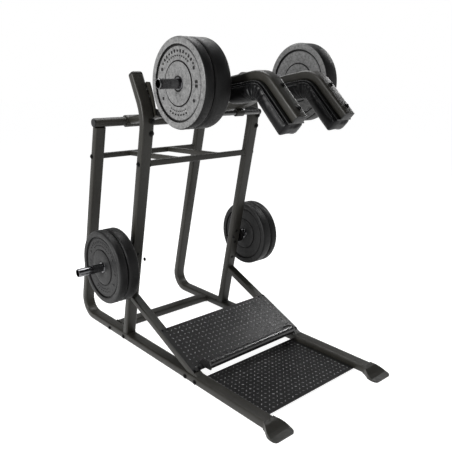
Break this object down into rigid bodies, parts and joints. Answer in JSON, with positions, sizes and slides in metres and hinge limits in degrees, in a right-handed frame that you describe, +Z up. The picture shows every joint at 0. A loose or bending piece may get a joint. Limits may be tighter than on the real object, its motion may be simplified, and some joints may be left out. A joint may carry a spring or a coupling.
{
  "type": "leverage squat and calf machine",
  "caption": "Plate-loaded lever squat and calf machine with shoulder pads, lock-out bar, sloped footplate, calf bar and weight storage posts.",
  "frame": {"origin": "on the floor under the middle of the machine's box", "axes": "+Z up, +Y towards the pivot end and -Y towards the open end with the two feet, +X to the right when looking along +Y"},
  "size_m": [1.626, 2.0119, 1.892],
  "materials": {
    "frame_paint": "satin dark grey powder coat",
    "black_steel": "satin black",
    "tread_steel": "dark sheet with small raised lugs",
    "chrome": "polished plate posts and pins",
    "grey_rubber": "grey speckled face on a dark tyre",
    "dark_rubber": "dark grey moulded rubber",
    "vinyl": "black padded vinyl, gathered at the bend",
    "foot_rubber": "black rubber"
  },
  "bodies": {
    "frame": {"side_frame_left": "frame_paint", "mid_runner_left": "frame_paint", "front_runner_left": "frame_paint", "foot_left": "frame_paint", "front_upright_left": "frame_paint", "upright_cap_left": "black_steel", "diagonal_brace_left": "frame_paint", "catch_rack_left": "frame_paint", "storage_post_left": "chrome", "link_bar_left": "frame_paint", "calf_bar_bracket_left": "frame_paint", "axle_cap_left": "black_steel", "rubber_foot_rear_left": "foot_rubber", "rubber_foot_front_left": "foot_rubber", "side_frame_right": "frame_paint", "mid_runner_right": "frame_paint", "front_runner_right": "frame_paint", "foot_right": "frame_paint", "front_upright_right": "frame_paint", "upright_cap_right": "black_steel", "diagonal_brace_right": "frame_paint", "catch_rack_right": "frame_paint", "storage_post_right": "chrome", "link_bar_right": "frame_paint", "calf_bar_bracket_right": "frame_paint", "axle_cap_right": "black_steel", "rubber_foot_rear_right": "foot_rubber", "rubber_foot_front_right": "foot_rubber", "base_cross_tube": "frame_paint", "upper_crossbar_front": "frame_paint", "upper_crossbar_rear": "frame_paint", "footplate": "tread_steel", "calf_bar": "frame_paint", "floor_plate": "tread_steel", "pivot_axle": "frame_paint"},
    "lever": {"lever_hub": "frame_paint", "lever_cross_tube": "frame_paint", "lockout_bar": "frame_paint", "lever_tube_left": "frame_paint", "pad_base_left": "black_steel", "shoulder_pad_left": "vinyl", "lever_post_left": "chrome", "lockout_collar_left": "frame_paint", "latch_arm_left": "black_steel", "lever_tube_right": "frame_paint", "pad_base_right": "black_steel", "shoulder_pad_right": "vinyl", "lever_post_right": "chrome", "lockout_collar_right": "frame_paint", "latch_arm_right": "black_steel"},
    "lock_pin_left": {"lock_pin_left": "chrome"},
    "lock_pin_right": {"lock_pin_right": "chrome"},
    "lever_plate_left_inner": {"lever_plate_left_inner": "dark_rubber"},
    "lever_plate_left_outer": {"lever_plate_left_outer": "grey_rubber"},
    "lever_plate_right": {"lever_plate_right": "grey_rubber"},
    "storage_plate_left_inner": {"storage_plate_left_inner": "dark_rubber"},
    "storage_plate_left_outer": {"storage_plate_left_outer": "dark_rubber"},
    "storage_plate_right_inner": {"storage_plate_right_inner": "dark_rubber"},
    "storage_plate_right_outer": {"storage_plate_right_outer": "dark_rubber"}
  },
  "joints": [
    {"name": "lever_pivot", "type": "hinge", "parent": "frame", "child": "lever", "pos_m": [0, 0.658, 1.421], "axis": [-1, 0, 0], "range_deg": [-27, 26]},
    {"name": "lock_pin_left_slide", "type": "slide", "parent": "lever", "child": "lock_pin_left", "axis": [-1, 0, 0], "range_m": [0, 0.0115]},
    {"name": "lock_pin_right_slide", "type": "slide", "parent": "lever", "child": "lock_pin_right", "axis": [1, 0, 0], "range_m": [0, 0.0115]},
    {"name": "lever_plate_left_inner_slide", "type": "slide", "parent": "lever", "child": "lever_plate_left_inner", "axis": [-1, 0, 0], "range_m": [-0.084, 0.285]},
    {"name": "lever_plate_left_outer_slide", "type": "slide", "parent": "lever_plate_left_inner", "child": "lever_plate_left_outer", "axis": [-1, 0, 0], "range_m": [-0.003, 0.18]},
    {"name": "lever_plate_right_slide", "type": "slide", "parent": "lever", "child": "lever_plate_right", "axis": [1, 0, 0], "range_m": [-0.13, 0.24]},
    {"name": "storage_plate_left_inner_slide", "type": "slide", "parent": "frame", "child": "storage_plate_left_inner", "axis": [-1, 0, 0], "range_m": [-0.064, 0.29]},
    {"name": "storage_plate_left_outer_slide", "type": "slide", "parent": "storage_plate_left_inner", "child": "storage_plate_left_outer", "axis": [-1, 0, 0], "range_m": [-0.003, 0.215]},
    {"name": "storage_plate_right_inner_slide", "type": "slide", "parent": "frame", "child": "storage_plate_right_inner", "axis": [1, 0, 0], "range_m": [-0.034, 0.32]},
    {"name": "storage_plate_right_outer_slide", "type": "slide", "parent": "storage_plate_right_inner", "child": "storage_plate_right_outer", "axis": [1, 0, 0], "range_m": [-0.003, 0.245]}
  ]
}
